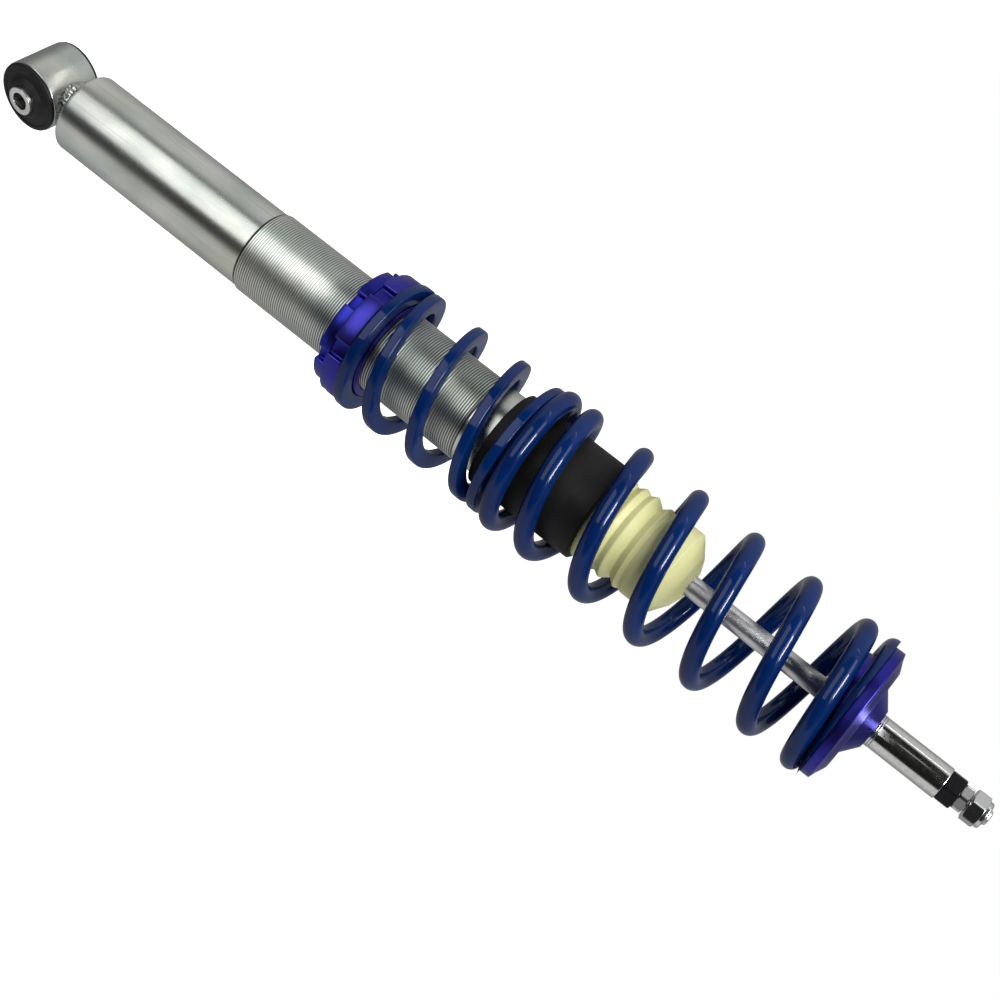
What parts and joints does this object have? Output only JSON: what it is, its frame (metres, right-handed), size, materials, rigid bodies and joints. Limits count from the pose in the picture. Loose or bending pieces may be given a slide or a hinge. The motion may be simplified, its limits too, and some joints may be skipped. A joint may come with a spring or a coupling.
{
  "type": "coil-over strut",
  "caption": "Rear coil-over strut with a rubber-bushed lower eye, threaded body, height-adjustable spring seat, helper and main springs, bump stop and threaded rod end.",
  "frame": {"origin": "centre of the lower eye's bore", "axes": "+Z along the strut's axis towards the rod's threaded end; Y along the lower eye's bore"},
  "size_m": [0.0882, 0.0882, 0.692],
  "materials": {
    "zinc_steel": "satin zinc plate, fine drawn grain",
    "sleeve_steel": "bright turned steel",
    "weld_steel": "rippled weld bead under zinc plate",
    "bare_steel": "drawn steel, oiled",
    "spring_steel": "ground spring steel",
    "sintered_iron": "sintered, matt",
    "bearing_bronze": "bronze bearing layer",
    "ptfe_band": "filled PTFE",
    "hard_chrome": "ground hard chrome",
    "polished_chrome": "polished",
    "blue_anodised": "turned, blue anodised",
    "violet_anodised": "turned, violet-blue anodised",
    "blue_spring_paint": "gloss powder coat",
    "black_plastic": "matt, fine grain",
    "cream_foam": "micro-cellular polyurethane skin",
    "black_rubber": "moulded rubber",
    "black_oxide": "black zinc",
    "bright_zinc": "bright zinc plate",
    "nylon": "nylon ring"
  },
  "bodies": {
    "root": {"eye_ring": "zinc_steel", "eye_rubber_bush": "black_rubber", "eye_inner_sleeve": "sleeve_steel", "eye_weld": "weld_steel", "base_cap": "zinc_steel", "body_tube": "zinc_steel", "base_valve_body": "sintered_iron", "base_valve_discs": "spring_steel", "base_valve_bolt": "spring_steel", "pressure_tube": "bare_steel", "rod_guide": "sintered_iron", "guide_o_ring": "black_rubber", "guide_bush": "bearing_bronze", "rod_seal": "black_rubber", "closing_cap": "zinc_steel", "dust_tube": "black_plastic", "bump_stop": "cream_foam"},
    "springs": {"helper_spring": "blue_spring_paint", "main_spring": "blue_spring_paint"},
    "perch": {"lower_perch": "violet_anodised"},
    "lock": {"lock_ring": "blue_anodised"},
    "upper_seat": {"upper_perch": "violet_anodised", "thrust_washers": "bright_zinc", "spacer_sleeve": "polished_chrome"},
    "rod": {"piston_rod": "hard_chrome", "piston": "sintered_iron", "piston_band": "ptfe_band", "piston_discs": "spring_steel", "piston_nut": "spring_steel", "rebound_stop": "spring_steel", "rebound_bumper": "black_rubber", "clamp_nut": "black_oxide", "jam_nut": "bright_zinc", "nyloc_nut": "bright_zinc", "nylon_insert": "nylon"}
  },
  "joints": [
    {"name": "rod_slide", "type": "slide", "parent": "root", "child": "upper_seat", "axis": [0, 0, -1], "range_m": [0, 0.13], "stiffness_N_per_m": 15000, "deforming": ["main_spring", "helper_spring", "bump_stop"]},
    {"name": "rod_spin", "type": "hinge", "parent": "upper_seat", "child": "rod", "pos_m": [0, 0, 0.5], "axis": [0, 0, 1], "continuous": true},
    {"name": "perch_height", "type": "slide", "parent": "root", "child": "springs", "axis": [0, 0, 1], "range_m": [-0.06, 0]},
    {"name": "perch_turn", "type": "hinge", "parent": "springs", "child": "perch", "pos_m": [0, 0, 0.256], "axis": [0, 0, 1], "range_deg": [-14401, 1]},
    {"name": "lock_turn", "type": "hinge", "parent": "springs", "child": "lock", "pos_m": [0, 0, 0.247], "axis": [0, 0, 1], "range_deg": [-14401, 1]}
  ],
  "couplings": [
    {"joint": "perch_turn", "follows": "perch_height", "rad_per_m": 4188.8},
    {"joint": "lock_turn", "follows": "perch_height", "rad_per_m": 4188.8}
  ]
}
